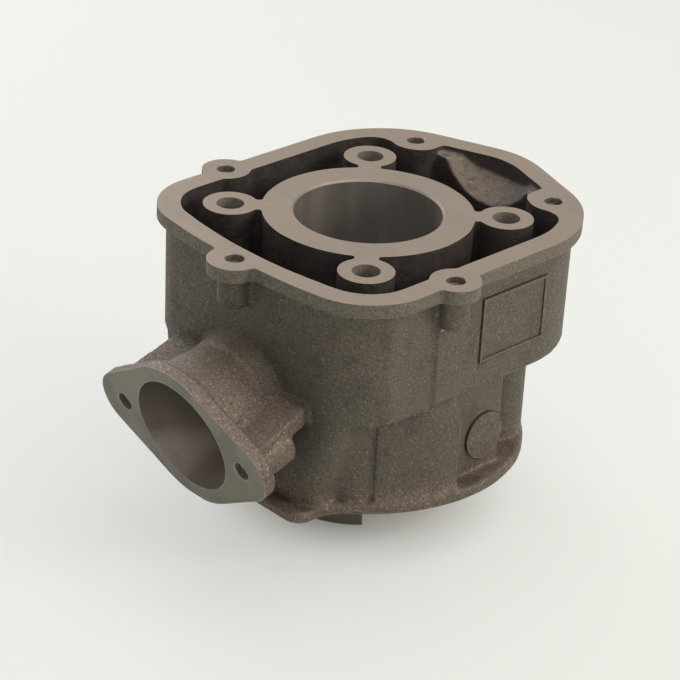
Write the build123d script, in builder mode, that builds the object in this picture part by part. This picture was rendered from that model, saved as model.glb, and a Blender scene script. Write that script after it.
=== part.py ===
from build123d import *
from math import atan2, cos, degrees, radians, sin, sqrt, tan
import os

# Liquid-cooled two-stroke engine cylinder, one iron casting.
# Frame: origin on the bore axis at the base gasket face, +Z up to the head,
# the exhaust outlet towards -Y. All lengths in mm.

# Bore and barrel
bore_radius = 19.95
barrel_radius = 28.45
deck_height = 66.0
bore_chamfer = 0.5

# Skirt that enters the crankcase
skirt_radius = 23.0
skirt_length = 18.0
skirt_notch_roof = 3.0
skirt_leaf_angle = 105.0

# Long studs through the casting
stud_spacing = 52.0
stud_hole_radius = 3.75
stud_boss_radius = 7.35
front_column_radius = 8.2
rear_column_radius = 8.9
stud_neck_width = 6.0

# Rim of the water jacket, measured at the deck
front_bow = 1.9
apex_reach = 60.0
front_corner_radius = 19.4
rear_corner_radius = 31.0
rear_corner_y = 23.45
apex_radius = 25.0
rear_slope = 20.0
rim_width = 6.2
front_rim_width = 5.4
lip_thickness = 4.0
lip_overhang = 2.5
side_setback = 0.8
side_setback_y = -15.5

# Cover screws round the rim, M6
screw_hole_radius = 2.5
cover_hole_depth = 11.0
side_screw_inset = 1.5
side_screw_y = -11.9
rear_screw_offset = 0.3
rear_screw_y = 44.4
side_lug_radius = 6.6
front_lug_radius = 7.2
inner_lug_radius = 6.8
lug_boss_radius = 4.3
lug_boss_depth = 13.0
lug_boss_end_chamfer = 1.0
lug_soft_blend = 6.0
lug_hard_blend = 1.2

# Water jacket
rear_band_y = 38.4
rear_band_corner = 6.0
jacket_underside = 29.6
jacket_floor = 34.0
jacket_edge_chamfer = 1.0
rear_lobe_half_width = 18.8
rear_lobe_corner = 5.8
saddle_front_y = 45.6
saddle_top_drop = 2.0
saddle_radius = 20.0
saddle_low_drop = 10.5
saddle_tilt = 33.0

# Base flange
base_margin = 9.6
base_thickness = 2.8
base_front_half_width = 28.5
base_front_reach = 48.4
base_front_corner = 4.5
base_waist_blend = 12.0
base_edge_chamfer = 0.7

# Walls between the base and the jacket
bulge_inset = 1.6
bulge_angles = (-38.3, -7.4)
bulge_shoulder_z = 23.5
bulge_shoulder_depth = 2.4
bulge_foot_blend = 3.2
bulge_foot_reach = 1.1
core_radius = 34.5
side_pad_x = 40.3
side_pad_front_y = -8.0
side_pad_rear_y = 14.1
boost_wall_radius = 41.0
boost_half_width = 13.0
front_block_top = 35.7
front_block_foot = 27.0
front_block_blend = 6.0

# Round casting mark on each side pad
disc_y = 7.3
disc_z = 13.0
disc_radius = 6.7
disc_rise = 0.9

# Plain plate on the side face
plate_y = 12.3
plate_z = 47.3
plate_length = 24.2
plate_height = 18.4
plate_rise = 0.7
plate_border = 0.8
plate_recess = 0.35

# Exhaust outlet
outlet_reach = 63.85
outlet_z = 20.0
outlet_tilt = 15.7
outlet_radius = 16.8
outlet_throat_radius = 12.8
outlet_flange_radius = 21.0
outlet_flange_thickness = 4.3
outlet_screw_x = 23.2
outlet_tip_radius = 8.9
outlet_back_chamfer = 1.0
outlet_hole_depth = 13.0
neck_radius = 19.3
neck_root_x = 16.5
neck_root_y = 16.0
neck_root_back = 20.0
neck_flare = 1.7
neck_flare_length = 5.0
wing_front_half_width = 27.6
wing_front_centre = 3.3
wing_rear_half_width = 25.4
wing_rear_centre = 5.2
wing_thickness = 4.6
wing_back = 26.0
screw_boss_radius = 5.5
screw_boss_back = 15.2
screw_boss_end_chamfer = 1.4

# Ports in the bore, heights above the base
port_floor = 25.0
passage_bend = 14.0
exhaust_port_top = 38.5
exhaust_port_width = 26.0
exhaust_port_corner = 4.0
transfer_port_top = 32.5

# Transfer passages, angles from +X on the right-hand side
passage_inner_radius = 24.2
passage_roof_run = 3.0
passage_roof_drop = 1.2
passage_lip_drop = 4.0
passage_wall = 3.5
main_passage = (-36.0, -10.5)
side_passage = (-4.0, 16.5)
boost_passage = (77.0, 103.0)

# Coolant inlets in the base, one each side of the outlet
inlet_x = 21.0
inlet_y = -38.6
inlet_length = 9.0
inlet_width = 5.4

# How far a cut or a joint runs past the face it meets, and how close two equal sizes must be
overlap = 1.0
tolerance = 0.01

# Worked-out places
stud_x = stud_spacing / 2
side_reach = stud_x + front_corner_radius
front_reach = side_reach + front_bow
side_wall_x = side_reach - lip_overhang
front_wall_y = lip_overhang - front_reach
side_screw = (side_reach - side_screw_inset, side_screw_y)
rear_screw = (stud_x + rear_screw_offset, rear_screw_y)
base_radius = stud_x * sqrt(2) + base_margin
bulge_radius = base_radius - bulge_inset
rear_corner_x = side_reach - rear_corner_radius
slope_normal = 90.0 - rear_slope
apex_y = (
    rear_corner_x * cos(radians(slope_normal))
    + rear_corner_y * sin(radians(slope_normal))
    + rear_corner_radius
    - apex_radius
) / sin(radians(slope_normal))

outlet_normal = (0, -cos(radians(outlet_tilt)), -sin(radians(outlet_tilt)))
neck_length = (outlet_reach - bore_radius) / cos(radians(outlet_tilt))
neck_root_z = outlet_z + (outlet_reach + front_wall_y) * tan(radians(outlet_tilt))
lugs = (
    ((0, -front_reach), 90, front_lug_radius, Axis.X),
    (side_screw, 180, side_lug_radius, Axis((0, 0, 0), (0, -1, 0))),
    ((-side_screw[0], side_screw[1]), 0, side_lug_radius, Axis.Y),
)
outlet_plane = Plane(origin=(0, -outlet_reach, outlet_z), x_dir=(1, 0, 0), z_dir=outlet_normal)


def rim_outline(inset, front_inset):
    """Outline of the rim at the deck, moved inwards, with its wide front arc tangent to the corners."""
    corner_radius = front_corner_radius - inset
    corner_gap = front_reach - front_inset - stud_x
    crown_radius = (stud_x**2 + corner_gap**2 - corner_radius**2) / (2 * (corner_gap - corner_radius))
    crown_y = crown_radius - front_reach + front_inset
    crown_angle = degrees(atan2(stud_x, crown_y + stud_x))
    with BuildSketch() as outline:
        with BuildLine():
            CenterArc((0, crown_y), crown_radius, -90, crown_angle)
            corner = CenterArc((stud_x, -stud_x), corner_radius, crown_angle - 90, 90 - crown_angle)
            shoulder = CenterArc((rear_corner_x, rear_corner_y), rear_corner_radius - inset, 0, slope_normal)
            apex = CenterArc((0, apex_y), apex_radius - inset, slope_normal, rear_slope)
            Line(corner @ 1, shoulder @ 0)
            Line(shoulder @ 1, apex @ 0)
            mirror(about=Plane.YZ)
        make_face()
    return outline.sketch


def water_space():
    """Plan of the open-deck water space round the barrel and its four stud bosses."""
    with BuildSketch() as rear_lobe:
        add(rim_outline(rim_width, front_rim_width))
        Rectangle(2 * rear_lobe_half_width, 2 * apex_reach, mode=Mode.INTERSECT)
    with BuildSketch() as space:
        add(rim_outline(rim_width, front_rim_width))
        with Locations((0, rear_band_y)):
            Rectangle(2 * side_reach, 2 * apex_reach, align=(Align.CENTER, Align.MAX), mode=Mode.INTERSECT)
        fillet(vertices().group_by(Axis.Y)[-1], rear_band_corner)
        add(rear_lobe.sketch)
        lug_corners = vertices().filter_by(
            lambda corner: abs(corner.Y - rear_band_y) < overlap
            and abs(abs(corner.X) - rear_lobe_half_width) < overlap
        )
        fillet(lug_corners, rear_lobe_corner)
        Circle(barrel_radius, mode=Mode.SUBTRACT)
        with GridLocations(stud_spacing, stud_spacing, 2, 2):
            Circle(stud_boss_radius, mode=Mode.SUBTRACT)
        for turn in (45, 135):
            Rectangle(stud_spacing * sqrt(2), stud_neck_width, rotation=turn, mode=Mode.SUBTRACT)
        with Locations(*both_sides(rear_screw), *both_sides(side_screw)):
            Circle(inner_lug_radius, mode=Mode.SUBTRACT)
    return space.sketch


def radial_plane(angle):
    """Upright plane through the bore axis, with its local x pointing outwards at an angle."""
    across = (sin(radians(angle)), -cos(radians(angle)), 0)
    return Plane(origin=(0, 0, 0), x_dir=(cos(radians(angle)), sin(radians(angle)), 0), z_dir=across)


def passage(angles, reach):
    """Transfer passage that rises from the base and turns into the bore, between two angles."""
    start, end = angles
    inside = bore_radius - 2 * overlap
    with BuildPart() as channel:
        with BuildSketch(radial_plane(start)):
            with BuildLine():
                foot_in = (passage_inner_radius, -overlap)
                turn = (reach, transfer_port_top - passage_bend)
                roof = (passage_inner_radius + passage_roof_run, transfer_port_top - passage_roof_drop)
                Line(foot_in, (reach, -overlap))
                Line((reach, -overlap), turn)
                TangentArc(turn, roof, tangent=(0, 1))
                Line(roof, (bore_radius, transfer_port_top))
                Line((bore_radius, transfer_port_top), (inside, transfer_port_top))
                Line((inside, transfer_port_top), (inside, port_floor))
                Line((inside, port_floor), (bore_radius, port_floor))
                Line((bore_radius, port_floor), (passage_inner_radius, port_floor - passage_lip_drop))
                Line((passage_inner_radius, port_floor - passage_lip_drop), foot_in)
            make_face()
        revolve(axis=Axis.Z, revolution_arc=end - start)
    return channel.part


def sector(radius, start, end):
    """Pie-shaped face between two angles on the right-hand side, with its mirror image."""
    with BuildSketch() as slice_pair:
        with BuildLine():
            arc = CenterArc((0, 0), radius, start, end - start)
            Line((0, 0), arc @ 0)
            Line(arc @ 1, (0, 0))
        make_face()
        mirror(about=Plane.YZ)
    return slice_pair.sketch


def both_sides(point):
    """The same place on the right-hand and the left-hand side."""
    x, y = point
    return [(x, y), (-x, y)]


# Base flange, round with a wider front for the coolant inlets
with BuildPart() as base_flange:
    with BuildSketch():
        Circle(base_radius)
        with Locations((0, -base_front_reach)):
            Rectangle(2 * base_front_half_width, base_front_reach, align=(Align.CENTER, Align.MIN))
        fillet(vertices().group_by(Axis.Y)[0], base_front_corner)
        waist = vertices().filter_by(lambda corner: abs(abs(corner.X) - base_front_half_width) < tolerance)
        fillet(waist.group_by(Axis.Y)[-1], base_waist_blend)
    extrude(amount=base_thickness)
    chamfer(edges().group_by(Axis.Z)[-1], base_edge_chamfer)

# Lower walls: barrel core, stud columns, side pads and the boost wall
with BuildPart() as lower_walls:
    with BuildSketch():
        Circle(core_radius)
        with Locations(*both_sides((stud_x, -stud_x))):
            Circle(front_column_radius)
        with Locations(*both_sides((stud_x, stud_x))):
            Circle(rear_column_radius)
        with Locations((0, (side_pad_front_y + side_pad_rear_y) / 2)):
            Rectangle(2 * side_pad_x, side_pad_rear_y - side_pad_front_y)
        with Locations((0, boost_wall_radius / 2)):
            Rectangle(2 * boost_half_width, boost_wall_radius)
    extrude(amount=jacket_underside)

# Bulge over the main transfer passage, with a foot blend and a rounded shoulder
with BuildPart() as bulge:
    with BuildSketch(radial_plane(bulge_angles[0])):
        with BuildLine():
            foot = (bulge_radius, base_thickness + bulge_foot_blend)
            foot_edge = (bulge_radius + bulge_foot_reach, base_thickness)
            shoulder = (bulge_radius, bulge_shoulder_z)
            shoulder_end = (bulge_radius - bulge_shoulder_depth, jacket_underside)
            Line((skirt_radius, 0), (foot_edge[0], 0))
            Line((foot_edge[0], 0), foot_edge)
            TangentArc(foot, foot_edge, tangent=(0, -1))
            Line(foot, shoulder)
            TangentArc(shoulder, shoulder_end, tangent=(0, 1))
            Polyline(shoulder_end, (skirt_radius, jacket_underside), (skirt_radius, 0))
        make_face()
    revolve(axis=Axis.Z, revolution_arc=bulge_angles[1] - bulge_angles[0])

# Block below the exhaust outlet, cut narrower towards the base
with BuildPart() as front_block:
    with BuildSketch():
        add(rim_outline(lip_overhang, lip_overhang))
        with Locations((0, -stud_x)):
            Rectangle(2 * side_reach, front_reach, align=(Align.CENTER, Align.MAX), mode=Mode.INTERSECT)
    extrude(amount=jacket_underside)
    with BuildSketch(Plane.XZ):
        with BuildLine():
            Polyline(
                (-front_block_foot, 0),
                (front_block_foot, 0),
                (front_block_top, jacket_underside),
                (-front_block_top, jacket_underside),
                close=True,
            )
        make_face()
    extrude(amount=front_reach, mode=Mode.INTERSECT)
    corners = edges().filter_by(lambda edge: edge.center().Y < -stud_x - overlap and abs(edge.tangent_at(0.5).Z) > 0.5)
    fillet(corners, front_block_blend)

# Jacket wall, rounded below and stepped in at the front corners
with BuildPart() as jacket:
    with BuildSketch(Plane.XY.offset(jacket_underside)):
        add(rim_outline(lip_overhang, lip_overhang))
    extrude(amount=deck_height - lip_thickness - jacket_underside)
    chamfer(edges().group_by(Axis.Z)[0], jacket_edge_chamfer)
    with BuildSketch(Plane.XY.offset(jacket_underside)):
        with Locations(*both_sides((side_wall_x, side_setback_y))):
            Rectangle(2 * side_setback, side_reach, align=(Align.CENTER, Align.MAX))
    extrude(amount=deck_height - jacket_underside, mode=Mode.SUBTRACT)

# Machined lip with three lugs outside the wall, each soft on one side and sharp on the other
with BuildPart() as lip:
    with BuildSketch(Plane.XY.offset(deck_height - lip_thickness)):
        add(rim_outline(0, 0))
        for place, inward, radius, soft_side in lugs:
            with Locations(Location(place, inward)):
                Circle(radius)
            sharp, soft = vertices().sort_by_distance(place)[:2].sort_by(soft_side)
            fillet(sharp, lug_hard_blend)
            fillet(soft, lug_soft_blend)
    extrude(amount=lip_thickness)

# Round bosses under the lugs
with BuildPart() as lug_bosses:
    with BuildSketch(Plane.XY.offset(deck_height - lug_boss_depth)):
        with Locations((0, -front_reach), *both_sides(side_screw)):
            Circle(lug_boss_radius)
    extrude(amount=lug_boss_depth - lip_thickness / 2)
    chamfer(edges().group_by(Axis.Z)[0], lug_boss_end_chamfer)

# Saddle of iron on the rear wall, inside the jacket
with BuildPart() as saddle:
    with BuildSketch(Plane.XY.offset(jacket_floor - overlap)):
        add(rim_outline(lip_overhang + overlap, lip_overhang + overlap))
        with Locations((0, saddle_front_y)):
            Rectangle(
                2 * rear_lobe_half_width,
                apex_reach,
                align=(Align.CENTER, Align.MIN),
                mode=Mode.INTERSECT,
            )
    extrude(amount=deck_height - saddle_top_drop - jacket_floor + overlap)
    trough_axis = (0, cos(radians(saddle_tilt)), sin(radians(saddle_tilt)))
    trough_start = (0, saddle_front_y, deck_height - saddle_low_drop + saddle_radius / cos(radians(saddle_tilt)))
    with BuildSketch(Plane(origin=trough_start, x_dir=(1, 0, 0), z_dir=trough_axis)):
        Circle(saddle_radius)
    extrude(amount=2 * saddle_radius, both=True, mode=Mode.SUBTRACT)

# Exhaust outlet flange with a tapped boss behind each screw
with BuildPart() as outlet_flange:
    with BuildSketch(outlet_plane):
        Circle(outlet_flange_radius)
        with GridLocations(2 * outlet_screw_x, 0, 2, 1):
            Circle(outlet_tip_radius)
        make_hull()
    extrude(amount=-outlet_flange_thickness)
    chamfer(faces().filter_by(outlet_plane).sort_by(Axis.Y)[-1].edges(), outlet_back_chamfer)

with BuildPart() as screw_bosses:
    with BuildSketch(outlet_plane):
        with GridLocations(2 * outlet_screw_x, 0, 2, 1):
            Circle(screw_boss_radius)
    extrude(amount=-screw_boss_back)
    chamfer(faces().filter_by(outlet_plane).group_by(Axis.Y)[-1].edges(), screw_boss_end_chamfer)

with BuildPart() as casting:
    add(base_flange)
    add(lower_walls)
    add(bulge)
    add(mirror(bulge.part, about=Plane.YZ, mode=Mode.PRIVATE))
    add(front_block)
    add(jacket)
    add(lip)
    add(lug_bosses)

    # Open-deck water space round the barrel and its four stud bosses
    with BuildSketch(Plane.XY.offset(jacket_floor)):
        add(water_space())
    extrude(amount=deck_height - jacket_floor, mode=Mode.SUBTRACT)
    add(saddle)

    # Exhaust neck from the flange to the barrel, with a wing on each side
    with BuildSketch(outlet_plane):
        Circle(neck_radius)
    with BuildSketch(outlet_plane.offset(-neck_root_back)):
        Ellipse(neck_root_x, neck_root_y)
    loft()
    with BuildSketch(outlet_plane.offset(-neck_root_back)):
        Ellipse(neck_root_x, neck_root_y)
    extrude(amount=neck_root_back - neck_length)
    with BuildSketch(Plane.XZ.offset(neck_flare_length - front_wall_y)):
        with Locations((0, neck_root_z)):
            Ellipse(neck_root_x, neck_root_y)
    with BuildSketch(Plane.XZ.offset(-front_wall_y - overlap)):
        with Locations((0, neck_root_z)):
            Ellipse(neck_root_x + neck_flare, neck_root_y + neck_flare)
    loft()
    with BuildSketch(outlet_plane):
        with Locations((0, wing_front_centre)):
            Rectangle(2 * wing_front_half_width, wing_thickness)
    with BuildSketch(outlet_plane.offset(-wing_back)):
        with Locations((0, wing_rear_centre)):
            Rectangle(2 * wing_rear_half_width, wing_thickness)
    loft()
    add(outlet_flange)
    add(screw_bosses)

    # Skirt, notched on both sides for the transfer flow
    with BuildSketch():
        Circle(skirt_radius)
    extrude(amount=-skirt_length)
    with BuildSketch(Plane.XY.offset(-skirt_notch_roof)):
        notch_half_angle = (180 - skirt_leaf_angle) / 2
        add(sector(skirt_radius + overlap, -notch_half_angle, notch_half_angle))
    extrude(amount=-skirt_length, mode=Mode.SUBTRACT)

    # Plate and casting marks on the sides
    with BuildSketch(Plane.YZ.offset(side_wall_x)):
        with Locations((plate_y, plate_z)):
            Rectangle(plate_length, plate_height)
    extrude(amount=plate_rise)
    with BuildSketch(Plane.YZ.offset(side_wall_x + plate_rise)):
        with Locations((plate_y, plate_z)):
            Rectangle(plate_length - 2 * plate_border, plate_height - 2 * plate_border)
    extrude(amount=-plate_recess, mode=Mode.SUBTRACT)
    with BuildSketch(Plane.YZ):
        with Locations((disc_y, disc_z)):
            Circle(disc_radius)
    extrude(amount=side_pad_x + disc_rise, both=True)

    # Bore, stud holes and the exhaust duct
    with Locations(Plane.XY.offset(deck_height)):
        Hole(bore_radius)
        with GridLocations(stud_spacing, stud_spacing, 2, 2):
            Hole(stud_hole_radius)
    with BuildSketch(outlet_plane):
        Circle(outlet_radius)
    with BuildSketch(outlet_plane.offset(-neck_root_back)):
        Circle(outlet_throat_radius)
    loft(mode=Mode.SUBTRACT)
    with BuildSketch(outlet_plane.offset(-neck_root_back)):
        Circle(outlet_throat_radius)
    with BuildSketch(Plane.XZ.offset(bore_radius * cos(radians(45)))):
        with Locations((0, (exhaust_port_top + port_floor) / 2)):
            RectangleRounded(exhaust_port_width, exhaust_port_top - port_floor, exhaust_port_corner)
    loft(mode=Mode.SUBTRACT)

    bore_edges = edges().filter_by(GeomType.CIRCLE).filter_by(lambda edge: abs(edge.radius - bore_radius) < tolerance)
    chamfer(bore_edges.sort_by(Axis.Z).last, bore_chamfer)

    # Transfer passages
    for angles, reach in ((main_passage, bulge_radius - passage_wall), (side_passage, side_pad_x - passage_wall)):
        channel = passage(angles, reach)
        add(channel, mode=Mode.SUBTRACT)
        add(mirror(channel, about=Plane.YZ, mode=Mode.PRIVATE), mode=Mode.SUBTRACT)
    add(passage(boost_passage, boost_wall_radius - passage_wall), mode=Mode.SUBTRACT)

    # Coolant inlets from the base into the water space
    with BuildSketch():
        with Locations(*both_sides((inlet_x, inlet_y))):
            SlotOverall(inlet_length, inlet_width)
    extrude(amount=jacket_floor + overlap, mode=Mode.SUBTRACT)

    # Screw holes in the deck and in the outlet flange
    with Locations(Plane.XY.offset(deck_height)):
        with Locations((0, -front_reach), *both_sides(side_screw), *both_sides(rear_screw)):
            Hole(screw_hole_radius, cover_hole_depth)
    with Locations(outlet_plane):
        with GridLocations(2 * outlet_screw_x, 0, 2, 1):
            Hole(screw_hole_radius, outlet_hole_depth)

casting.part.label = "cylinder_casting"
os.makedirs("parts", exist_ok=True)
export_step(casting.part, "parts/cylinder_casting.step")
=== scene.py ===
import math

import bmesh
import bpy
import numpy as np
from mathutils import Matrix, Vector, noise


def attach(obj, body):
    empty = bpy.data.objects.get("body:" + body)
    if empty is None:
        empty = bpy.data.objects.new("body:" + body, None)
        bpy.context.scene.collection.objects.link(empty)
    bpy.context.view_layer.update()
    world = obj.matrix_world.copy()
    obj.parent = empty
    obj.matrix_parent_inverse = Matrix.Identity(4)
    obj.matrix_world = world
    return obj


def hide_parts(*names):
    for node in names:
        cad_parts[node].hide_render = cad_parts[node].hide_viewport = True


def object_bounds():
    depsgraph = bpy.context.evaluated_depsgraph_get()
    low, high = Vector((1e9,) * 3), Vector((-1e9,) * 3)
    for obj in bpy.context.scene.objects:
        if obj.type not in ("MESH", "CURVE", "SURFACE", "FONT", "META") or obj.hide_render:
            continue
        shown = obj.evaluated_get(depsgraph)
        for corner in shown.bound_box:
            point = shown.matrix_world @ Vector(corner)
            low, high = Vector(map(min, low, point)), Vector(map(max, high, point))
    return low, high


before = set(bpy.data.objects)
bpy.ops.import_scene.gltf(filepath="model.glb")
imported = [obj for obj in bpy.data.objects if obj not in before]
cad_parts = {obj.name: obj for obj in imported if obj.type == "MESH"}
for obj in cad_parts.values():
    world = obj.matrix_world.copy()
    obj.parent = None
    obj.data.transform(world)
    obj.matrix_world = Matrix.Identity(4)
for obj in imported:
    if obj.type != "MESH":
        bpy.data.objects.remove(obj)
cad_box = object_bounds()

mm = 0.001

# Sizes of the casting
bore_radius = 19.95 * mm
bore_chamfer = 0.5 * mm
deck_height = 66.0 * mm
skirt_radius = 23.0 * mm
skirt_length = 18.0 * mm
stud_offset = 26.0 * mm
stud_hole_radius = 3.75 * mm
stud_places = [(side_x * stud_offset, side_y * stud_offset) for side_x in (-1, 1) for side_y in (-1, 1)]
outlet_reach = 63.85 * mm
outlet_z = 20.0 * mm
outlet_tilt = math.radians(15.7)
outlet_screw_x = 23.2 * mm
outlet_hole_depth = 13.0 * mm
cover_screws = ((0, -47.3), (43.9, -11.9), (-43.9, -11.9), (26.3, 44.4), (-26.3, 44.4))
cover_hole_depth = 11.0 * mm
outlet_origin = Vector((0, -outlet_reach, outlet_z))
outlet_normal = Vector((0, -math.cos(outlet_tilt), -math.sin(outlet_tilt)))

# Threads
tapping_radius = 2.5 * mm
thread_radius = 3.0 * mm
thread_pitch = 1.0 * mm
mouth_chamfer = 0.25 * mm
drill_tip = 0.6 * tapping_radius

# Raised plate on the right side, and discs on both
side_wall_x = 42.9 * mm
plate_centre = (12.3 * mm, 47.3 * mm)
plate_size = (24.2 * mm, 18.4 * mm)
plate_rise = 0.7 * mm
plate_border = 0.8 * mm
plate_recess = 0.35 * mm
side_pad_x = 40.3 * mm
disc_centre = (7.3 * mm, 13.0 * mm)
disc_radius = 6.7 * mm
disc_rise = 0.9 * mm
corner_relief = 0.6 * mm
relief_gap = 0.04 * mm

# How the surface of the casting is made
machining_stock = 1.2 * mm
rough_hole_share = 0.6
voxel = 0.55 * mm
crisp_rounds = 3
soft_rounds = 16
triangle_target = 170000
shrink_strength = 0.6
swell_strength = -0.61
sharp_angle = math.radians(35)

# Unevenness of the skin: size of the waves and their height in mm, and a shift of the pattern
skin_waves = (
    (9.0, 0.13, (0, 0, 0)),
    (3.1, 0.06, (7, 3, 5)),
    (1.3, 0.035, (2, 9, 4)),
)

# Share of an even white in the floor as the camera sees it, which keeps its shadows pale, and the distances
# from the axis
# over which that share comes in: nearer the axis it fades out, which paints a darker shadow round the foot of
# the part
floor_glow = 0.56
floor_glow_start = 10 * mm
floor_glow_full = 46 * mm


def link(name, mesh):
    """New object in the scene for a mesh."""
    piece = bpy.data.objects.new(name, mesh)
    bpy.context.scene.collection.objects.link(piece)
    return piece


def apply_modifiers(piece):
    """Replaces the object's mesh by its modified mesh."""
    depsgraph = bpy.context.evaluated_depsgraph_get()
    mesh = bpy.data.meshes.new_from_object(piece.evaluated_get(depsgraph))
    old = piece.data
    piece.modifiers.clear()
    piece.data = mesh
    bpy.data.meshes.remove(old)


def read_vectors(items, name):
    """Places or directions of all the vertices or faces of a mesh, a row for each."""
    values = np.empty(len(items) * 3, np.float32)
    items.foreach_get(name, values)
    return values.reshape(-1, 3).astype(np.float64)


def store_vertices(mesh, points):
    """Moves the vertices of a mesh to new places."""
    mesh.vertices.foreach_set("co", points.astype(np.float32).ravel())
    mesh.update()


# Rough casting, with stock left on every machined face


def add_stock(points):
    """Moves the vertices of the machined faces out by the machining stock."""
    tolerance = 0.02 * mm
    moved = points.copy()
    x, y, z = points.T
    from_axis = np.hypot(x, y)
    on_bore = np.abs(from_axis - bore_radius) < tolerance
    on_chamfer = (from_axis < bore_radius + bore_chamfer + tolerance) & (z > deck_height - tolerance)
    on_skirt = (np.abs(from_axis - skirt_radius) < tolerance) & (z < tolerance)
    for chosen, radius in (
        (on_bore | on_chamfer, bore_radius - machining_stock),
        (on_skirt, skirt_radius + machining_stock),
    ):
        scale = radius / np.maximum(from_axis, 1e-9)
        moved[chosen, 0] = x[chosen] * scale[chosen]
        moved[chosen, 1] = y[chosen] * scale[chosen]
    for stud_place in stud_places:
        off_x = x - stud_place[0]
        off_y = y - stud_place[1]
        on_hole = np.abs(np.hypot(off_x, off_y) - stud_hole_radius) < tolerance
        moved[on_hole, 0] = stud_place[0] + off_x[on_hole] * rough_hole_share
        moved[on_hole, 1] = stud_place[1] + off_y[on_hole] * rough_hole_share
    moved[z > deck_height - tolerance, 2] += machining_stock
    moved[np.abs(z) < tolerance, 2] -= machining_stock
    moved[z < -skirt_length + tolerance, 2] -= machining_stock
    ahead = (points - np.array(outlet_origin)) @ np.array(outlet_normal)
    on_outlet = np.abs(ahead) < tolerance
    moved[on_outlet] += np.array(outlet_normal) * machining_stock
    return moved


def smooth_points(points, edges, rounds):
    """Rounds every edge by an even number of shrinking and swelling steps."""
    first = np.concatenate([edges[:, 0], edges[:, 1]])
    second = np.concatenate([edges[:, 1], edges[:, 0]])
    count = np.bincount(first, minlength=len(points))[:, None]
    for step in range(2 * rounds):
        strength = shrink_strength if step % 2 == 0 else swell_strength
        total = np.stack([np.bincount(first, points[second, k], len(points)) for k in range(3)], 1)
        points = points + strength * (total / count - points)
    return points


def edge_array(mesh):
    """Vertex numbers at both ends of all edges of a mesh."""
    edges = np.empty(len(mesh.edges) * 2, np.int32)
    mesh.edges.foreach_get("vertices", edges)
    return edges.reshape(-1, 2)


def ramp(values, low, high):
    """Smooth step from 0 at the low value to 1 at the high one, either way round."""
    share = np.clip((values - low) / (high - low), 0, 1)
    return share * share * (3 - 2 * share)


def softness(points):
    """How soft the sand mould left the casting at each point, from 0 to 1.

    Each zone comes in between two places, given in mm or degrees."""
    x, y, z = points.T / mm
    neck = ramp(y, -42.0, -45.0) * ramp(z, 50.0, 46.0)
    saddle = ramp(y, 42.0, 44.0) * ramp(z, 34.0, 38.0) * ramp(z, 65.0, 62.0) * ramp(np.abs(x), 23.0, 19.0)
    foot = ramp(z, 9.0, 6.0) * ramp(z, -1.0, 0.5)
    underside = ramp(z, 33.0, 31.0) * ramp(z, 22.0, 25.0) * ramp(np.abs(y), 60.0, 20.0)
    bulge_end_angle = -38.3
    from_bulge_end = np.abs(np.degrees(np.arctan2(y, np.abs(x))) - bulge_end_angle)
    bulge_end = ramp(from_bulge_end, 7.0, 3.0) * ramp(z, 25.0, 22.0)
    zones = ((neck, 0.3), (saddle, 1.0), (foot, 0.25), (underside, 0.4), (bulge_end, 1.0))
    least_softness = 0.08
    soft = np.full(len(points), least_softness)
    for zone, strength in zones:
        soft = np.maximum(soft, strength * zone)
    return soft


def uneven_skin(points, normals):
    """Small hollows and swellings of a sand-cast skin."""
    heights = np.zeros(len(points))
    for k, point in enumerate(points / mm):
        place = Vector(point)
        for size, height, shift in skin_waves:
            heights[k] += height * noise.noise(place / size + Vector(shift))
    return points + normals * (heights * mm)[:, None]


def rough_casting(node):
    """Remeshed copy of the casting with the soft edges and uneven skin of a sand mould."""
    mesh = node.data.copy()
    store_vertices(mesh, add_stock(read_vectors(mesh.vertices, "co")))
    piece = link("cylinder_iron", mesh)
    remesh = piece.modifiers.new("voxels", "REMESH")
    remesh.mode = "VOXEL"
    remesh.voxel_size = voxel
    apply_modifiers(piece)
    mesh = piece.data
    edges = edge_array(mesh)
    crisp = smooth_points(read_vectors(mesh.vertices, "co"), edges, crisp_rounds)
    soft = smooth_points(crisp, edges, soft_rounds)
    share = softness(crisp)[:, None]
    store_vertices(mesh, crisp + share * (soft - crisp))
    decimate = piece.modifiers.new("fewer", "DECIMATE")
    decimate.ratio = min(1.0, triangle_target / (2 * len(mesh.polygons)))
    apply_modifiers(piece)
    mesh = piece.data
    points = read_vectors(mesh.vertices, "co")
    store_vertices(mesh, uneven_skin(points, read_vectors(mesh.vertices, "normal")))
    return piece


# Machining cuts


def add_cylinder(bm, centre, radius, length, segments):
    """Upright closed cylinder with its middle at the centre."""
    place = Matrix.Translation(centre)
    bmesh.ops.create_cone(
        bm, cap_ends=True, segments=segments, radius1=radius, radius2=radius, depth=length, matrix=place
    )


def add_box(bm, low, high, frame_matrix=None):
    """Closed box between two corners, in an optional frame."""
    low, high = Vector(low), Vector(high)
    size = high - low
    place = Matrix.Translation((low + high) / 2) @ Matrix.Diagonal((*size, 1))
    if frame_matrix is not None:
        place = frame_matrix @ place
    bmesh.ops.create_cube(bm, size=1, matrix=place)


def on_circle(radius, angle, height):
    """Point at an angle on a circle about the z axis."""
    return Vector((radius * math.cos(angle), radius * math.sin(angle), height))


def revolve_profile(bm, profile, frame_matrix, segments, ring=False):
    """Body of revolution about the frame's z axis, from (radius, z) points: capped, or closed to a ring."""
    rings = []
    for step in range(segments):
        angle = 2 * math.pi * step / segments
        points = [on_circle(radius, angle, height) for radius, height in profile]
        rings.append([bm.verts.new(frame_matrix @ point) for point in points])
    count = len(profile)
    for step in range(segments):
        here, following = rings[step], rings[(step + 1) % segments]
        for k in range(count if ring else count - 1):
            after = (k + 1) % count
            bm.faces.new((here[k], following[k], following[after], here[after]))
    if not ring:
        bm.faces.new([points[0] for points in reversed(rings)])
        bm.faces.new([points[-1] for points in rings])


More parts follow.
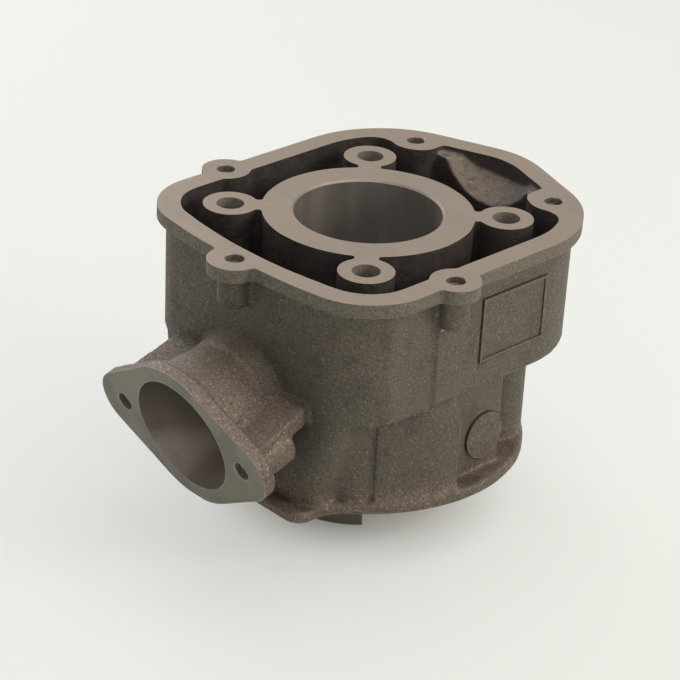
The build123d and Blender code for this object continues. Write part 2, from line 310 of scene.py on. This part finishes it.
def tap_radius(height, angle, full_depth):
    """Radius of the tap at a height from the mouth: chamfered there, threaded below, plain at the bottom."""
    if height >= 0:
        return tapping_radius + mouth_chamfer
    if height > -1.1 * mouth_chamfer:
        return tapping_radius + 0.1 * mouth_chamfer
    if height <= -full_depth + 0.5 * thread_pitch:
        return tapping_radius
    phase = (height / thread_pitch - angle / (2 * math.pi)) % 1.0
    crest = 1 - abs(2 * phase - 1)
    fade = min(1.0, (height + full_depth) / (2 * thread_pitch))
    return tapping_radius + (thread_radius - tapping_radius) * crest * fade


def add_tap(bm, frame_matrix, depth):
    """Tap-shaped body: a drill's tip, and above it a thread that fades in towards the mouth."""
    segments = 40
    steps_a_pitch = 5
    tip_radius = 0.1 * mm
    above_mouth = 2 * mm
    full_depth = depth - drill_tip
    turns = int(full_depth / thread_pitch) - 2
    heights = [-full_depth]
    heights += [-full_depth + (k / steps_a_pitch + 0.6) * thread_pitch for k in range(turns * steps_a_pitch)]
    heights += [-0.9 * mouth_chamfer, 0.0, above_mouth]
    angles = [2 * math.pi * step / segments for step in range(segments)]
    outlines = [[on_circle(tip_radius, angle, -full_depth - drill_tip) for angle in angles]]
    for height in heights:
        outlines.append([on_circle(tap_radius(height, angle, full_depth), angle, height) for angle in angles])
    rings = [[bm.verts.new(frame_matrix @ point) for point in outline] for outline in outlines]
    for low, high in zip(rings, rings[1:]):
        for step in range(segments):
            after = (step + 1) % segments
            bm.faces.new((low[step], low[after], high[after], high[step]))
    bm.faces.new(list(reversed(rings[0])))
    bm.faces.new(rings[-1])


def cutter(name, build):
    """Cutting tool made by a function that fills a bmesh."""
    bm = bmesh.new()
    build(bm)
    bmesh.ops.recalc_face_normals(bm, faces=bm.faces)
    mesh = bpy.data.meshes.new(name)
    bm.to_mesh(mesh)
    bm.free()
    return link(name, mesh)


def combine(piece, tool, operation):
    """Joins a tool's body to the piece or cuts it out, and removes the tool."""
    boolean = piece.modifiers.new(tool.name, "BOOLEAN")
    boolean.operation = operation
    boolean.solver = "MANIFOLD"
    boolean.object = tool
    apply_modifiers(piece)
    bpy.data.objects.remove(tool)


def outlet_frame():
    """Frame with its z axis out of the exhaust face."""
    across = Vector((1, 0, 0))
    upward = outlet_normal.cross(across)
    matrix = Matrix((across, upward, outlet_normal)).transposed().to_4x4()
    return Matrix.Translation(outlet_origin) @ matrix


def screw_places():
    """Frames at the mouths of the tapped holes with their depths."""
    places = []
    for x, y in cover_screws:
        places.append((Matrix.Translation((x * mm, y * mm, deck_height)), cover_hole_depth))
    for side in (-1, 1):
        shift = Matrix.Translation((side * outlet_screw_x, 0, 0))
        places.append((outlet_frame() @ shift, outlet_hole_depth))
    return places


def machine(piece):
    """Brings the faces, the bore and the holes to their exact sizes."""
    far = 0.2
    origin = Matrix.Identity(4)
    turning_segments = 160
    drilling_segments = 64

    def faces(bm):
        add_box(bm, (-far, -far, deck_height), (far, far, far))
        add_box(bm, (-far, -far, -far), (far, far, -skirt_length))

    def base(bm):
        low = -skirt_length - 5 * mm
        profile = [(skirt_radius, low), (far, low), (far, 0), (skirt_radius, 0)]
        revolve_profile(bm, profile, origin, turning_segments, ring=True)

    def outlet(bm):
        add_box(bm, (-far, -far, 0), (far, far, far), outlet_frame())

    def bore(bm):
        below_skirt = -0.05
        profile = [
            (bore_radius, below_skirt),
            (bore_radius, deck_height - bore_chamfer),
            (bore_radius + bore_chamfer, deck_height),
            (bore_radius + bore_chamfer, deck_height + 5 * mm),
        ]
        revolve_profile(bm, profile, origin, turning_segments)

    def studs(bm):
        middle = 0.02
        length = 0.12
        for stud_place in stud_places:
            add_cylinder(bm, (*stud_place, middle), stud_hole_radius, length, drilling_segments)

    def screws(bm):
        for place, depth in screw_places():
            add_tap(bm, place, depth)

    for name, shape in (
        ("deck_cut", faces),
        ("base_cut", base),
        ("outlet_cut", outlet),
        ("bore_cut", bore),
        ("stud_cut", studs),
        ("screw_cut", screws),
    ):
        combine(piece, cutter(name, shape), "DIFFERENCE")


def sharpen_plate(piece):
    """Crisp plate with a raised border, which the sand left sharper than the rest of the skin."""
    y, z = plate_centre
    half_y, half_z = plate_size[0] / 2, plate_size[1] / 2
    root = side_wall_x - 1 * mm
    level = side_wall_x + relief_gap
    top = side_wall_x + plate_rise
    far_x = side_wall_x + 3 * mm

    def block(bm):
        add_box(bm, (root, y - half_y, z - half_z), (top, y + half_y, z + half_z))

    def field(bm):
        inner_y, inner_z = half_y - plate_border, half_z - plate_border
        add_box(bm, (top - plate_recess, y - inner_y, z - inner_z), (far_x, y + inner_y, z + inner_z))

    def ends(bm):
        for sign in (-1, 1):
            low, high = sorted((y + sign * half_y, y + sign * (half_y + corner_relief)))
            add_box(bm, (level, low, z - half_z - corner_relief), (far_x, high, z + half_z + corner_relief))

    def sides(bm):
        for sign in (-1, 1):
            low, high = sorted((z + sign * half_z, z + sign * (half_z + corner_relief)))
            add_box(bm, (level, y - half_y, low), (far_x, y + half_y, high))

    def over(bm):
        add_box(bm, (top, y - half_y, z - half_z), (far_x, y + half_y, z + half_z))

    combine(piece, cutter("plate", block), "UNION")
    for name, shape in (("field", field), ("ends", ends), ("sides", sides), ("over", over)):
        combine(piece, cutter(name, shape), "DIFFERENCE")


def sharpen_disc(piece, turn):
    """Crisp disc on one side, with a clean corner round it."""
    segments = 128
    sideways = Matrix.Translation((0, *disc_centre)) @ Matrix.Rotation(turn, 4, "Y")

    def disc(bm):
        low, high = side_pad_x - 1 * mm, side_pad_x + disc_rise
        revolve_profile(bm, [(disc_radius, low), (disc_radius, high)], sideways, segments)

    def relief(bm):
        low, high = side_pad_x + relief_gap, side_pad_x + 2 * mm
        outer = disc_radius + corner_relief
        profile = [(disc_radius, low), (outer, low), (outer, high), (disc_radius, high)]
        revolve_profile(bm, profile, sideways, segments, ring=True)

    combine(piece, cutter("disc", disc), "UNION")
    combine(piece, cutter("relief", relief), "DIFFERENCE")


# Camera, at the photograph's viewing angle


def add_camera():
    """Camera placed by its distance and direction from the bore axis."""
    azimuth = math.radians(45.01)
    elevation = math.radians(27.60)
    roll = math.radians(3.08)
    distance = 0.6298
    shift_x = 0.00752
    shift_y = 0.03420
    focal_pixels = 2370.6
    image_width = 680
    sensor_width = 36
    back = Vector((
        math.sin(azimuth) * math.cos(elevation),
        -math.cos(azimuth) * math.cos(elevation),
        math.sin(elevation),
    ))
    right = Vector((math.cos(azimuth), math.sin(azimuth), 0))
    up = back.cross(right)
    level = Matrix((right, up, back))
    tilt = Matrix((
        (math.cos(roll), math.sin(roll), 0),
        (-math.sin(roll), math.cos(roll), 0),
        (0, 0, 1),
    ))
    turn = tilt @ level
    target = Vector((0.00035, -0.00035, deck_height))
    camera_data = bpy.data.cameras.new("camera")
    camera_data.sensor_width = sensor_width
    camera_data.lens = focal_pixels * sensor_width / image_width
    camera_data.clip_start = 0.01
    camera = bpy.data.objects.new("camera", camera_data)
    bpy.context.scene.collection.objects.link(camera)
    place = target - turn.transposed() @ Vector((shift_x, shift_y, -distance))
    camera.matrix_world = Matrix.Translation(place) @ turn.transposed().to_4x4()
    bpy.context.scene.camera = camera


def add_lights():
    """Soft studio lamps and a pale world.

    Each lamp has a name, place, size in metres, power in watts and colour."""
    scene = bpy.context.scene
    world = bpy.data.worlds.new("studio")
    world.use_nodes = True
    scene.world = world
    background = world.node_tree.nodes["Background"]
    background.inputs["Color"].default_value = (0.97, 0.97, 0.96, 1)
    background.inputs["Strength"].default_value = 0.42
    aim = Vector((0, 0, 0.03))
    for name, place, size, power, colour in (
        ("overhead", (0.05, 0.15, 0.8), 0.8, 2.7, (1.0, 0.98, 0.95)),
        ("left", (-0.65, 0.15, 0.4), 0.4, 1.3, (0.94, 0.98, 1.0)),
        ("right", (0.6, 0.3, 0.4), 0.3, 1.8, (1.0, 0.92, 0.80)),
    ):
        lamp_data = bpy.data.lights.new(name, "AREA")
        lamp_data.shape = "DISK"
        lamp_data.size = size
        lamp_data.energy = power
        lamp_data.color = colour
        lamp = bpy.data.objects.new(name, lamp_data)
        scene.collection.objects.link(lamp)
        lamp.location = place
        direction = aim - Vector(place)
        lamp.rotation_euler = direction.to_track_quat("-Z", "Y").to_euler()


def add_floor():
    """Pale floor that fills the view behind the part, with a painted shadow round the part's foot."""
    floor_size = 3
    bm = bmesh.new()
    bmesh.ops.create_grid(bm, x_segments=1, y_segments=1, size=floor_size)
    mesh = bpy.data.meshes.new("floor")
    bm.to_mesh(mesh)
    bm.free()
    floor = link("floor", mesh)
    floor.location.z = -skirt_length
    white = Surface("floor_white", 0.0)
    white.shader.inputs["Roughness"].default_value = 0.6
    white.shader.inputs["Base Color"].default_value = (0.85, 0.86, 0.82, 1)
    glow = white.tree.nodes.new("ShaderNodeEmission")
    glow.inputs["Color"].default_value = (0.915, 0.92, 0.88, 1)
    seen = white.tree.nodes.new("ShaderNodeLightPath").outputs["Is Camera Ray"]
    distance = white.tree.nodes.new("ShaderNodeVectorMath")
    distance.operation = "LENGTH"
    white.link(white.places, distance.inputs[0])
    # The even white fades out towards the axis: a painted shadow round the foot of the part
    clear = white.ramp(distance.outputs["Value"], floor_glow_start, floor_glow_full)
    blend = white.tree.nodes.new("ShaderNodeMixShader")
    white.link(white.times(white.times(seen, floor_glow), clear), blend.inputs["Fac"])
    white.link(white.shader.outputs["BSDF"], blend.inputs[1])
    white.link(glow.outputs["Emission"], blend.inputs[2])
    white.link(blend.outputs["Shader"], white.tree.nodes["Material Output"].inputs["Surface"])
    floor.data.materials.append(white.material)


# Materials


class Surface:
    """A material with a few short ways to add its nodes."""

    def __init__(self, name, metallic):
        self.material = bpy.data.materials.new(name)
        self.material.use_nodes = True
        self.tree = self.material.node_tree
        self.shader = self.tree.nodes["Principled BSDF"]
        self.shader.inputs["Metallic"].default_value = metallic
        self.places = self.tree.nodes.new("ShaderNodeTexCoord").outputs["Object"]

    def link(self, output, socket):
        """Joins an output of one node to a socket of another."""
        self.tree.links.new(output, socket)

    def grain(self, size, detail, roughness, stretch=None):
        """Noise from 0 to 1 with features of about the given size."""
        texture = self.tree.nodes.new("ShaderNodeTexNoise")
        texture.inputs["Scale"].default_value = 1 / size
        texture.inputs["Detail"].default_value = detail
        texture.inputs["Roughness"].default_value = roughness
        if stretch is None:
            self.link(self.places, texture.inputs["Vector"])
        else:
            mapping = self.tree.nodes.new("ShaderNodeMapping")
            mapping.inputs["Scale"].default_value = stretch
            self.link(self.places, mapping.inputs["Vector"])
            self.link(mapping.outputs["Vector"], texture.inputs["Vector"])
        return texture.outputs["Fac"]

    def ramp(self, value, low, high, result_low=0.0, result_high=1.0):
        """Smooth step of a value between two limits."""
        step = self.tree.nodes.new("ShaderNodeMapRange")
        step.interpolation_type = "SMOOTHSTEP"
        step.inputs["From Min"].default_value = low
        step.inputs["From Max"].default_value = high
        step.inputs["To Min"].default_value = result_low
        step.inputs["To Max"].default_value = result_high
        self.link(value, step.inputs["Value"])
        return step.outputs["Result"]

    def times(self, first, second):
        """Product of two values, where the second may be a number."""
        return self.math("MULTIPLY", first, second)

    def math(self, operation, first, second):
        """Sum, product or the like of two values, where the second may be a number."""
        step = self.tree.nodes.new("ShaderNodeMath")
        step.operation = operation
        self.link(first, step.inputs[0])
        if isinstance(second, (int, float)):
            step.inputs[1].default_value = second
        else:
            self.link(second, step.inputs[1])
        return step.outputs[0]

    def mix(self, share, first, second):
        """Blend of two colours, each a colour or another blend."""
        blend = self.tree.nodes.new("ShaderNodeMix")
        blend.data_type = "RGBA"
        self.link(share, blend.inputs["Factor"])
        for name, colour in (("A", first), ("B", second)):
            socket = [s for s in blend.inputs if s.name == name and s.type == "RGBA"][0]
            if isinstance(colour, tuple):
                socket.default_value = (*colour, 1)
            else:
                self.link(colour, socket)
        return [s for s in blend.outputs if s.type == "RGBA"][0]

    def axis(self, name):
        """The object's own x, y or z coordinate."""
        split = self.tree.nodes.new("ShaderNodeSeparateXYZ")
        self.link(self.places, split.inputs[0])
        return split.outputs[name]

    def facing_up(self):
        """Upward part of the surface's direction."""
        geometry = self.tree.nodes.new("ShaderNodeNewGeometry")
        split = self.tree.nodes.new("ShaderNodeSeparateXYZ")
        self.link(geometry.outputs["Normal"], split.inputs[0])
        return split.outputs["Z"]

    def near_edge(self, radius):
        """Value near 1 along crisp edges, from how far a rounded edge turns the surface."""
        bevel = self.tree.nodes.new("ShaderNodeBevel")
        bevel.samples = 4
        bevel.inputs["Radius"].default_value = radius
        geometry = self.tree.nodes.new("ShaderNodeNewGeometry")
        product = self.tree.nodes.new("ShaderNodeVectorMath")
        product.operation = "DOT_PRODUCT"
        self.link(bevel.outputs["Normal"], product.inputs[0])
        self.link(geometry.outputs["Normal"], product.inputs[1])
        return self.ramp(product.outputs["Value"], 0.995, 0.90)

    def hollow(self, distance, inside=False):
        """Value near 1 in creases, or along outer edges when it looks inside the body."""
        shade = self.tree.nodes.new("ShaderNodeAmbientOcclusion")
        shade.samples = 6
        shade.inside = inside
        shade.only_local = True
        shade.inputs["Distance"].default_value = distance
        return self.ramp(shade.outputs["AO"], 0.80, 0.30)

    def bump(self, *layers):
        """Relief from several heights, each with its depth."""
        normal = None
        for height, depth in layers:
            relief = self.tree.nodes.new("ShaderNodeBump")
            relief.inputs["Distance"].default_value = depth
            relief.inputs["Strength"].default_value = 1.0
            self.link(height, relief.inputs["Height"])
            if normal is not None:
                self.link(normal, relief.inputs["Normal"])
            normal = relief.outputs["Normal"]
        self.link(normal, self.shader.inputs["Normal"])

    def finish(self, colour, roughness):
        """The material, with its colour and roughness joined up."""
        self.link(colour, self.shader.inputs["Base Color"])
        self.link(roughness, self.shader.inputs["Roughness"])
        return self.material


def cast_skin():
    """Sand-cast iron: olive grey walls, brown on the neck and along the base, where light specks partly stand
    for painted glints and the upward faces get painted light; painted highlights along the outer edges and
    painted shade in the creases.
    """
    olive = (0.124, 0.108, 0.082)
    warm_olive = (0.136, 0.112, 0.083)
    dark_patch = (0.100, 0.086, 0.070)
    lip_olive = (0.178, 0.155, 0.118)
    rust_brown = (0.185, 0.137, 0.107)
    pit = (0.044, 0.036, 0.030)
    grit_and_glint = (0.60, 0.52, 0.42)
    painted_top_light = (0.42, 0.34, 0.27)
    painted_edge_highlight = (0.40, 0.36, 0.29)
    painted_crease_shade = (0.034, 0.029, 0.025)
    skin = Surface("cast_iron", 0.25)
    grain = skin.grain(0.62 * mm, 4.0, 0.75)
    coarse = skin.grain(1.9 * mm, 3.0, 0.6)
    cloud = skin.grain(17 * mm, 3.0, 0.55)
    patches = skin.grain(6.0 * mm, 4.0, 0.6)
    y, z = skin.axis("Y"), skin.axis("Z")
    neck = skin.times(skin.ramp(y, -44.6 * mm, -46.2 * mm), skin.ramp(z, 51 * mm, 47 * mm))
    ledge = skin.times(skin.ramp(z, 8.0 * mm, 4.5 * mm), skin.ramp(z, -1.0 * mm, 0.5 * mm))
    ledge = skin.times(ledge, skin.ramp(patches, 0.36, 0.56))
    lip = skin.ramp(z, 61.5 * mm, 62.5 * mm)
    brown = skin.math("MAXIMUM", neck, ledge)
    pits = skin.times(skin.ramp(grain, 0.50, 0.34), skin.ramp(brown, 0.0, 1.0, 0.60, 0.90))
    # Light specks: partly grains of the skin and partly painted glints, strongest on the brown neck and base
    grits_and_glints = skin.times(skin.ramp(grain, 0.57, 0.70), skin.ramp(brown, 0.0, 1.0, 0.45, 0.95))
    lit = skin.times(skin.ramp(skin.facing_up(), 0.15, 0.75), brown)
    colour = skin.mix(skin.ramp(cloud, 0.35, 0.65), olive, warm_olive)
    colour = skin.mix(skin.ramp(patches, 0.50, 0.68), colour, dark_patch)
    colour = skin.mix(lip, colour, lip_olive)
    colour = skin.mix(brown, colour, rust_brown)
    colour = skin.mix(pits, colour, pit)
    colour = skin.mix(grits_and_glints, colour, grit_and_glint)
    # Painted light: the upward faces of the brown neck and base drawn lighter
    colour = skin.mix(skin.times(lit, 0.14), colour, painted_top_light)
    # Painted highlight along the outer edges, found by looking inside the body
    colour = skin.mix(skin.times(skin.hollow(0.6 * mm, inside=True), 0.40), colour, painted_edge_highlight)
    # Painted shade in the creases
    colour = skin.mix(skin.times(skin.hollow(1.5 * mm), 0.60), colour, painted_crease_shade)
    skin.bump((coarse, 0.10 * mm), (grain, 0.11 * mm))
    return skin.finish(colour, skin.ramp(grain, 0.35, 0.65, 0.66, 0.42))


def core_skin_and_painted_light():
    """Inside of the water space, black partly from the core sand and partly as painted shade, with painted
    light on the upward faces of the saddle at the rear.
    """
    dark_tone_and_shade = (0.050, 0.041, 0.038)
    brown_tone_and_shade = (0.078, 0.062, 0.055)
    saddle_painted_light = (0.255, 0.205, 0.158)
    grit_and_glint = (0.55, 0.47, 0.38)
    skin = Surface("core_iron", 0.1)
    grain = skin.grain(0.7 * mm, 4.0, 0.75)
    patches = skin.grain(5.0 * mm, 3.0, 0.6)
    lumps = skin.grain(2.2 * mm, 3.0, 0.7)
    x, y, z = skin.axis("X"), skin.axis("Y"), skin.axis("Z")
    # Painted light on the upward faces of the saddle at the rear, stronger towards -x
    saddle = skin.times(skin.ramp(skin.facing_up(), 0.15, 0.55), skin.ramp(z, 40 * mm, 50 * mm))
    saddle = skin.times(saddle, skin.ramp(y, 42.5 * mm, 44.5 * mm))
    saddle = skin.times(saddle, skin.ramp(x, 14 * mm, -3 * mm, 0.22, 1.0))
    saddle = skin.times(saddle, skin.ramp(lumps, 0.30, 0.55, 0.45, 1.0))
    # Light specks: partly grains of the skin and partly painted glints, strongest on the lit saddle
    grits_and_glints = skin.times(skin.ramp(grain, 0.58, 0.70), skin.ramp(saddle, 0.0, 1.0, 0.22, 0.85))
    # Black of the water space: partly the colour of the iron there, partly painted shade deep inside
    colour = skin.mix(skin.ramp(patches, 0.35, 0.65), dark_tone_and_shade, brown_tone_and_shade)
    # Painted light on the saddle
    colour = skin.mix(saddle, colour, saddle_painted_light)
    colour = skin.mix(grits_and_glints, colour, grit_and_glint)
    skin.bump((lumps, 0.30 * mm), (grain, 0.14 * mm))
    return skin.finish(colour, skin.ramp(grain, 0.35, 0.65, 0.8, 0.55))


def machined_face():
    """Finely milled iron of the deck and the base: a warm light grey, with a painted highlight along the
    crisp edges.
    """
    warm_grey = (0.420, 0.335, 0.262)
    cool_grey = (0.360, 0.298, 0.240)
    dark_speck = (0.240, 0.205, 0.170)
    bright_cut = (0.46, 0.42, 0.37)
    painted_edge_glint = (0.60, 0.54, 0.47)
    face = Surface("milled_iron", 0.55)
    cloud = face.grain(21 * mm, 3.0, 0.5)
    speck = face.grain(0.9 * mm, 4.0, 0.7)
    cuts = face.grain(3.0 * mm, 3.0, 0.6, stretch=(0.10, 2.2, 1.0))
    colour = face.mix(face.ramp(cloud, 0.35, 0.65), warm_grey, cool_grey)
    colour = face.mix(face.ramp(speck, 0.52, 0.75, 0.0, 0.35), colour, dark_speck)
    colour = face.mix(face.ramp(cuts, 0.45, 0.72, 0.0, 0.22), colour, bright_cut)
    # Painted highlight along the crisp edges
    colour = face.mix(face.times(face.near_edge(0.35 * mm), 0.5), colour, painted_edge_glint)
    face.bump((cuts, 0.006 * mm), (speck, 0.010 * mm))
    return face.finish(colour, face.ramp(cloud, 0.35, 0.65, 0.42, 0.52))


def outlet_seat():
    """Milled exhaust face: a smooth greenish grey with a painted highlight along its edge."""
    green_grey = (0.240, 0.222, 0.180)
    dark_grey = (0.205, 0.195, 0.160)
    light_speck = (0.30, 0.29, 0.25)
    painted_edge_glint = (0.52, 0.50, 0.42)
    face = Surface("outlet_iron", 0.5)
    cloud = face.grain(12 * mm, 3.0, 0.5)
    speck = face.grain(0.6 * mm, 3.0, 0.6)
    colour = face.mix(face.ramp(cloud, 0.35, 0.65), green_grey, dark_grey)
    colour = face.mix(face.ramp(speck, 0.55, 0.80, 0.0, 0.25), colour, light_speck)
    # Painted highlight along the crisp edges
    colour = face.mix(face.near_edge(0.45 * mm), colour, painted_edge_glint)
    face.bump((speck, 0.008 * mm))
    return face.finish(colour, face.ramp(cloud, 0.35, 0.65, 0.45, 0.56))


def honed_bore():
    """Honed running surface: dark satin iron with a fine grain round the bore."""
    light_iron = (0.300, 0.268, 0.238)
    dark_iron = (0.225, 0.202, 0.182)
    face = Surface("honed_iron", 0.35)
    cloud = face.grain(9 * mm, 2.0, 0.5, stretch=(1.0, 1.0, 0.2))
    hone = face.grain(0.5 * mm, 2.0, 0.6, stretch=(1.0, 1.0, 3.0))
    colour = face.mix(face.ramp(cloud, 0.35, 0.65), light_iron, dark_iron)
    face.bump((hone, 0.006 * mm))
    return face.finish(colour, face.ramp(hone, 0.35, 0.65, 0.44, 0.54))


def duct_skin():
    """Exhaust duct: smooth and slightly brown, with painted shade above the axis, painted light below it and
    a painted sheen streak low on the -x side.
    """
    brown_iron = (0.300, 0.258, 0.228)
    dark_iron = (0.240, 0.206, 0.184)
    light_grain = (0.46, 0.39, 0.33)
    painted_light_below = (0.44, 0.375, 0.33)
    dark_tone_and_shade = (0.120, 0.104, 0.094)
    painted_sheen = (0.90, 0.78, 0.69)
    skin = Surface("duct_iron", 0.65)
    cloud = skin.grain(14 * mm, 2.0, 0.5)
    grain = skin.grain(1.1 * mm, 3.0, 0.6)
    height = skin.math("ADD", skin.axis("Z"), -outlet_z)
    # Painted sheen streak low on the -x side of the duct
    sheen_streak = skin.times(skin.ramp(height, -5 * mm, -10 * mm), skin.ramp(skin.axis("X"), 0.0, -7 * mm))
    colour = skin.mix(skin.ramp(cloud, 0.35, 0.65), brown_iron, dark_iron)
    colour = skin.mix(skin.ramp(grain, 0.60, 0.75, 0.0, 0.3), colour, light_grain)
    # Painted light on the lower part of the duct
    colour = skin.mix(skin.ramp(height, -13 * mm, 2 * mm, 0.0, 0.7), painted_light_below, colour)
    # Painted shade on the upper part of the duct
    colour = skin.mix(skin.ramp(height, 2 * mm, 14 * mm, 0.0, 0.75), colour, dark_tone_and_shade)
    colour = skin.mix(skin.times(sheen_streak, 0.6), colour, painted_sheen)
    skin.bump((grain, 0.03 * mm))
    return skin.finish(colour, skin.ramp(cloud, 0.35, 0.65, 0.28, 0.36))


def drilled_wall():
    """Walls of the stud holes and the threads."""
    light_iron = (0.40, 0.35, 0.30)
    dark_iron = (0.28, 0.245, 0.21)
    face = Surface("drilled_iron", 0.3)
    speck = face.grain(0.8 * mm, 3.0, 0.6)
    colour = face.mix(face.ramp(speck, 0.35, 0.65), light_iron, dark_iron)
    face.bump((speck, 0.015 * mm))
    return face.finish(colour, face.ramp(speck, 0.35, 0.65, 0.35, 0.5))


# Order of the finishes in the casting's list of materials
CAST, CORE, MILLED, OUTLET, BORE, DUCT, DRILLED = range(7)


def behind_outlet(centres):
    """Depth of each place behind the exhaust face and its offset from the duct's axis, in mm."""
    axis = np.array(outlet_normal)
    from_outlet = centres - np.array(outlet_origin) / mm
    depth = -(from_outlet @ axis)
    return depth, from_outlet + depth[:, None] * axis


def in_duct(depth, aside, normals):
    """Faces inside the taper of the exhaust duct that look at its axis."""
    mouth_radius = 18.0
    inner_radius = 14.6
    taper = 0.17
    taper_length = 20.0
    least_depth = 0.02
    reach = np.where(depth < taper_length, mouth_radius - taper * depth, inner_radius)
    inward = (aside * normals).sum(axis=1) < 0
    return inward & (np.linalg.norm(aside, axis=1) < reach) & (depth > least_depth)


def in_tap(points, place, length):
    """Points on the wall or the tip of a tapped hole."""
    below_mouth = 0.01 * mm
    below_tip = 3 * mm
    margin = 0.1 * mm
    local = (points - np.array(place.translation)) @ np.array(place.to_3x3())
    reach = np.hypot(local[:, 0], local[:, 1])
    deep = (local[:, 2] < -below_mouth) & (local[:, 2] > -length - below_tip)
    return deep & (reach < thread_radius + margin)


def face_kinds(mesh):
    """Which finish each face of the casting has, from where it lies, in mm."""
    core_floor = 33.3
    core_radius = 41.5
    stud_boss_radius = 7.8
    outlet_front = -50
    duct_end = -14
    turned_in = -0.1
    straight = 0.9
    near_face = 0.05
    near_bore = 0.08
    below_base = 0.02
    chamfer_reach = 0.6
    off_bore = 0.1
    hole_margin = 0.03
    centres = read_vectors(mesh.polygons, "center") / mm
    normals = read_vectors(mesh.polygons, "normal")
    x, y, z = centres.T
    deck = deck_height / mm
    bore = bore_radius / mm
    radius = np.hypot(x, y)
    outward = (x * normals[:, 0] + y * normals[:, 1]) / np.maximum(radius, 1e-6)
    off_studs = np.hypot(np.abs(x) - stud_offset / mm, np.abs(y) - stud_offset / mm)
    depth, aside = behind_outlet(centres)
    kinds = np.full(len(centres), CAST, np.int32)

    inside_wall = (radius < core_radius) | (outward < turned_in)
    kinds[(z > core_floor) & (y > outlet_front) & inside_wall] = CORE
    kinds[(z > core_floor) & (off_studs < stud_boss_radius)] = CORE
    kinds[in_duct(depth, aside, normals) & (radius > bore + off_bore) & (y < duct_end)] = DUCT
    kinds[z < -below_base] = OUTLET
    kinds[(np.abs(z) < near_face) & (normals[:, 2] < -straight)] = MILLED
    kinds[(z > deck - near_face) & (normals[:, 2] > straight)] = MILLED
    kinds[(radius < bore + chamfer_reach) & (z > deck - chamfer_reach)] = MILLED
    kinds[np.abs(radius - bore) < near_bore] = BORE
    kinds[(np.abs(depth) < near_face) & (normals @ np.array(outlet_normal) > straight)] = OUTLET
    kinds[off_studs < stud_hole_radius / mm + hole_margin] = DRILLED
    for place, length in screw_places():
        kinds[in_tap(centres * mm, place, length)] = DRILLED
    return kinds


bpy.context.scene.view_settings.view_transform = "Standard"
add_camera()
add_lights()
add_floor()

iron = rough_casting(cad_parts["cylinder_casting"])
sharpen_plate(iron)
sharpen_disc(iron, math.radians(90))
sharpen_disc(iron, math.radians(-90))
machine(iron)
store_vertices(iron.data, np.clip(read_vectors(iron.data.vertices, "co"), *np.array(cad_box)))
iron.data.materials.clear()
for material in (
    cast_skin(),
    core_skin_and_painted_light(),
    machined_face(),
    outlet_seat(),
    honed_bore(),
    duct_skin(),
    drilled_wall(),
):
    iron.data.materials.append(material)
iron.data.polygons.foreach_set("use_smooth", [True] * len(iron.data.polygons))
iron.data.polygons.foreach_set("material_index", face_kinds(iron.data))
iron.data.set_sharp_from_angle(angle=sharp_angle)
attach(iron, "root")
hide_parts("cylinder_casting")
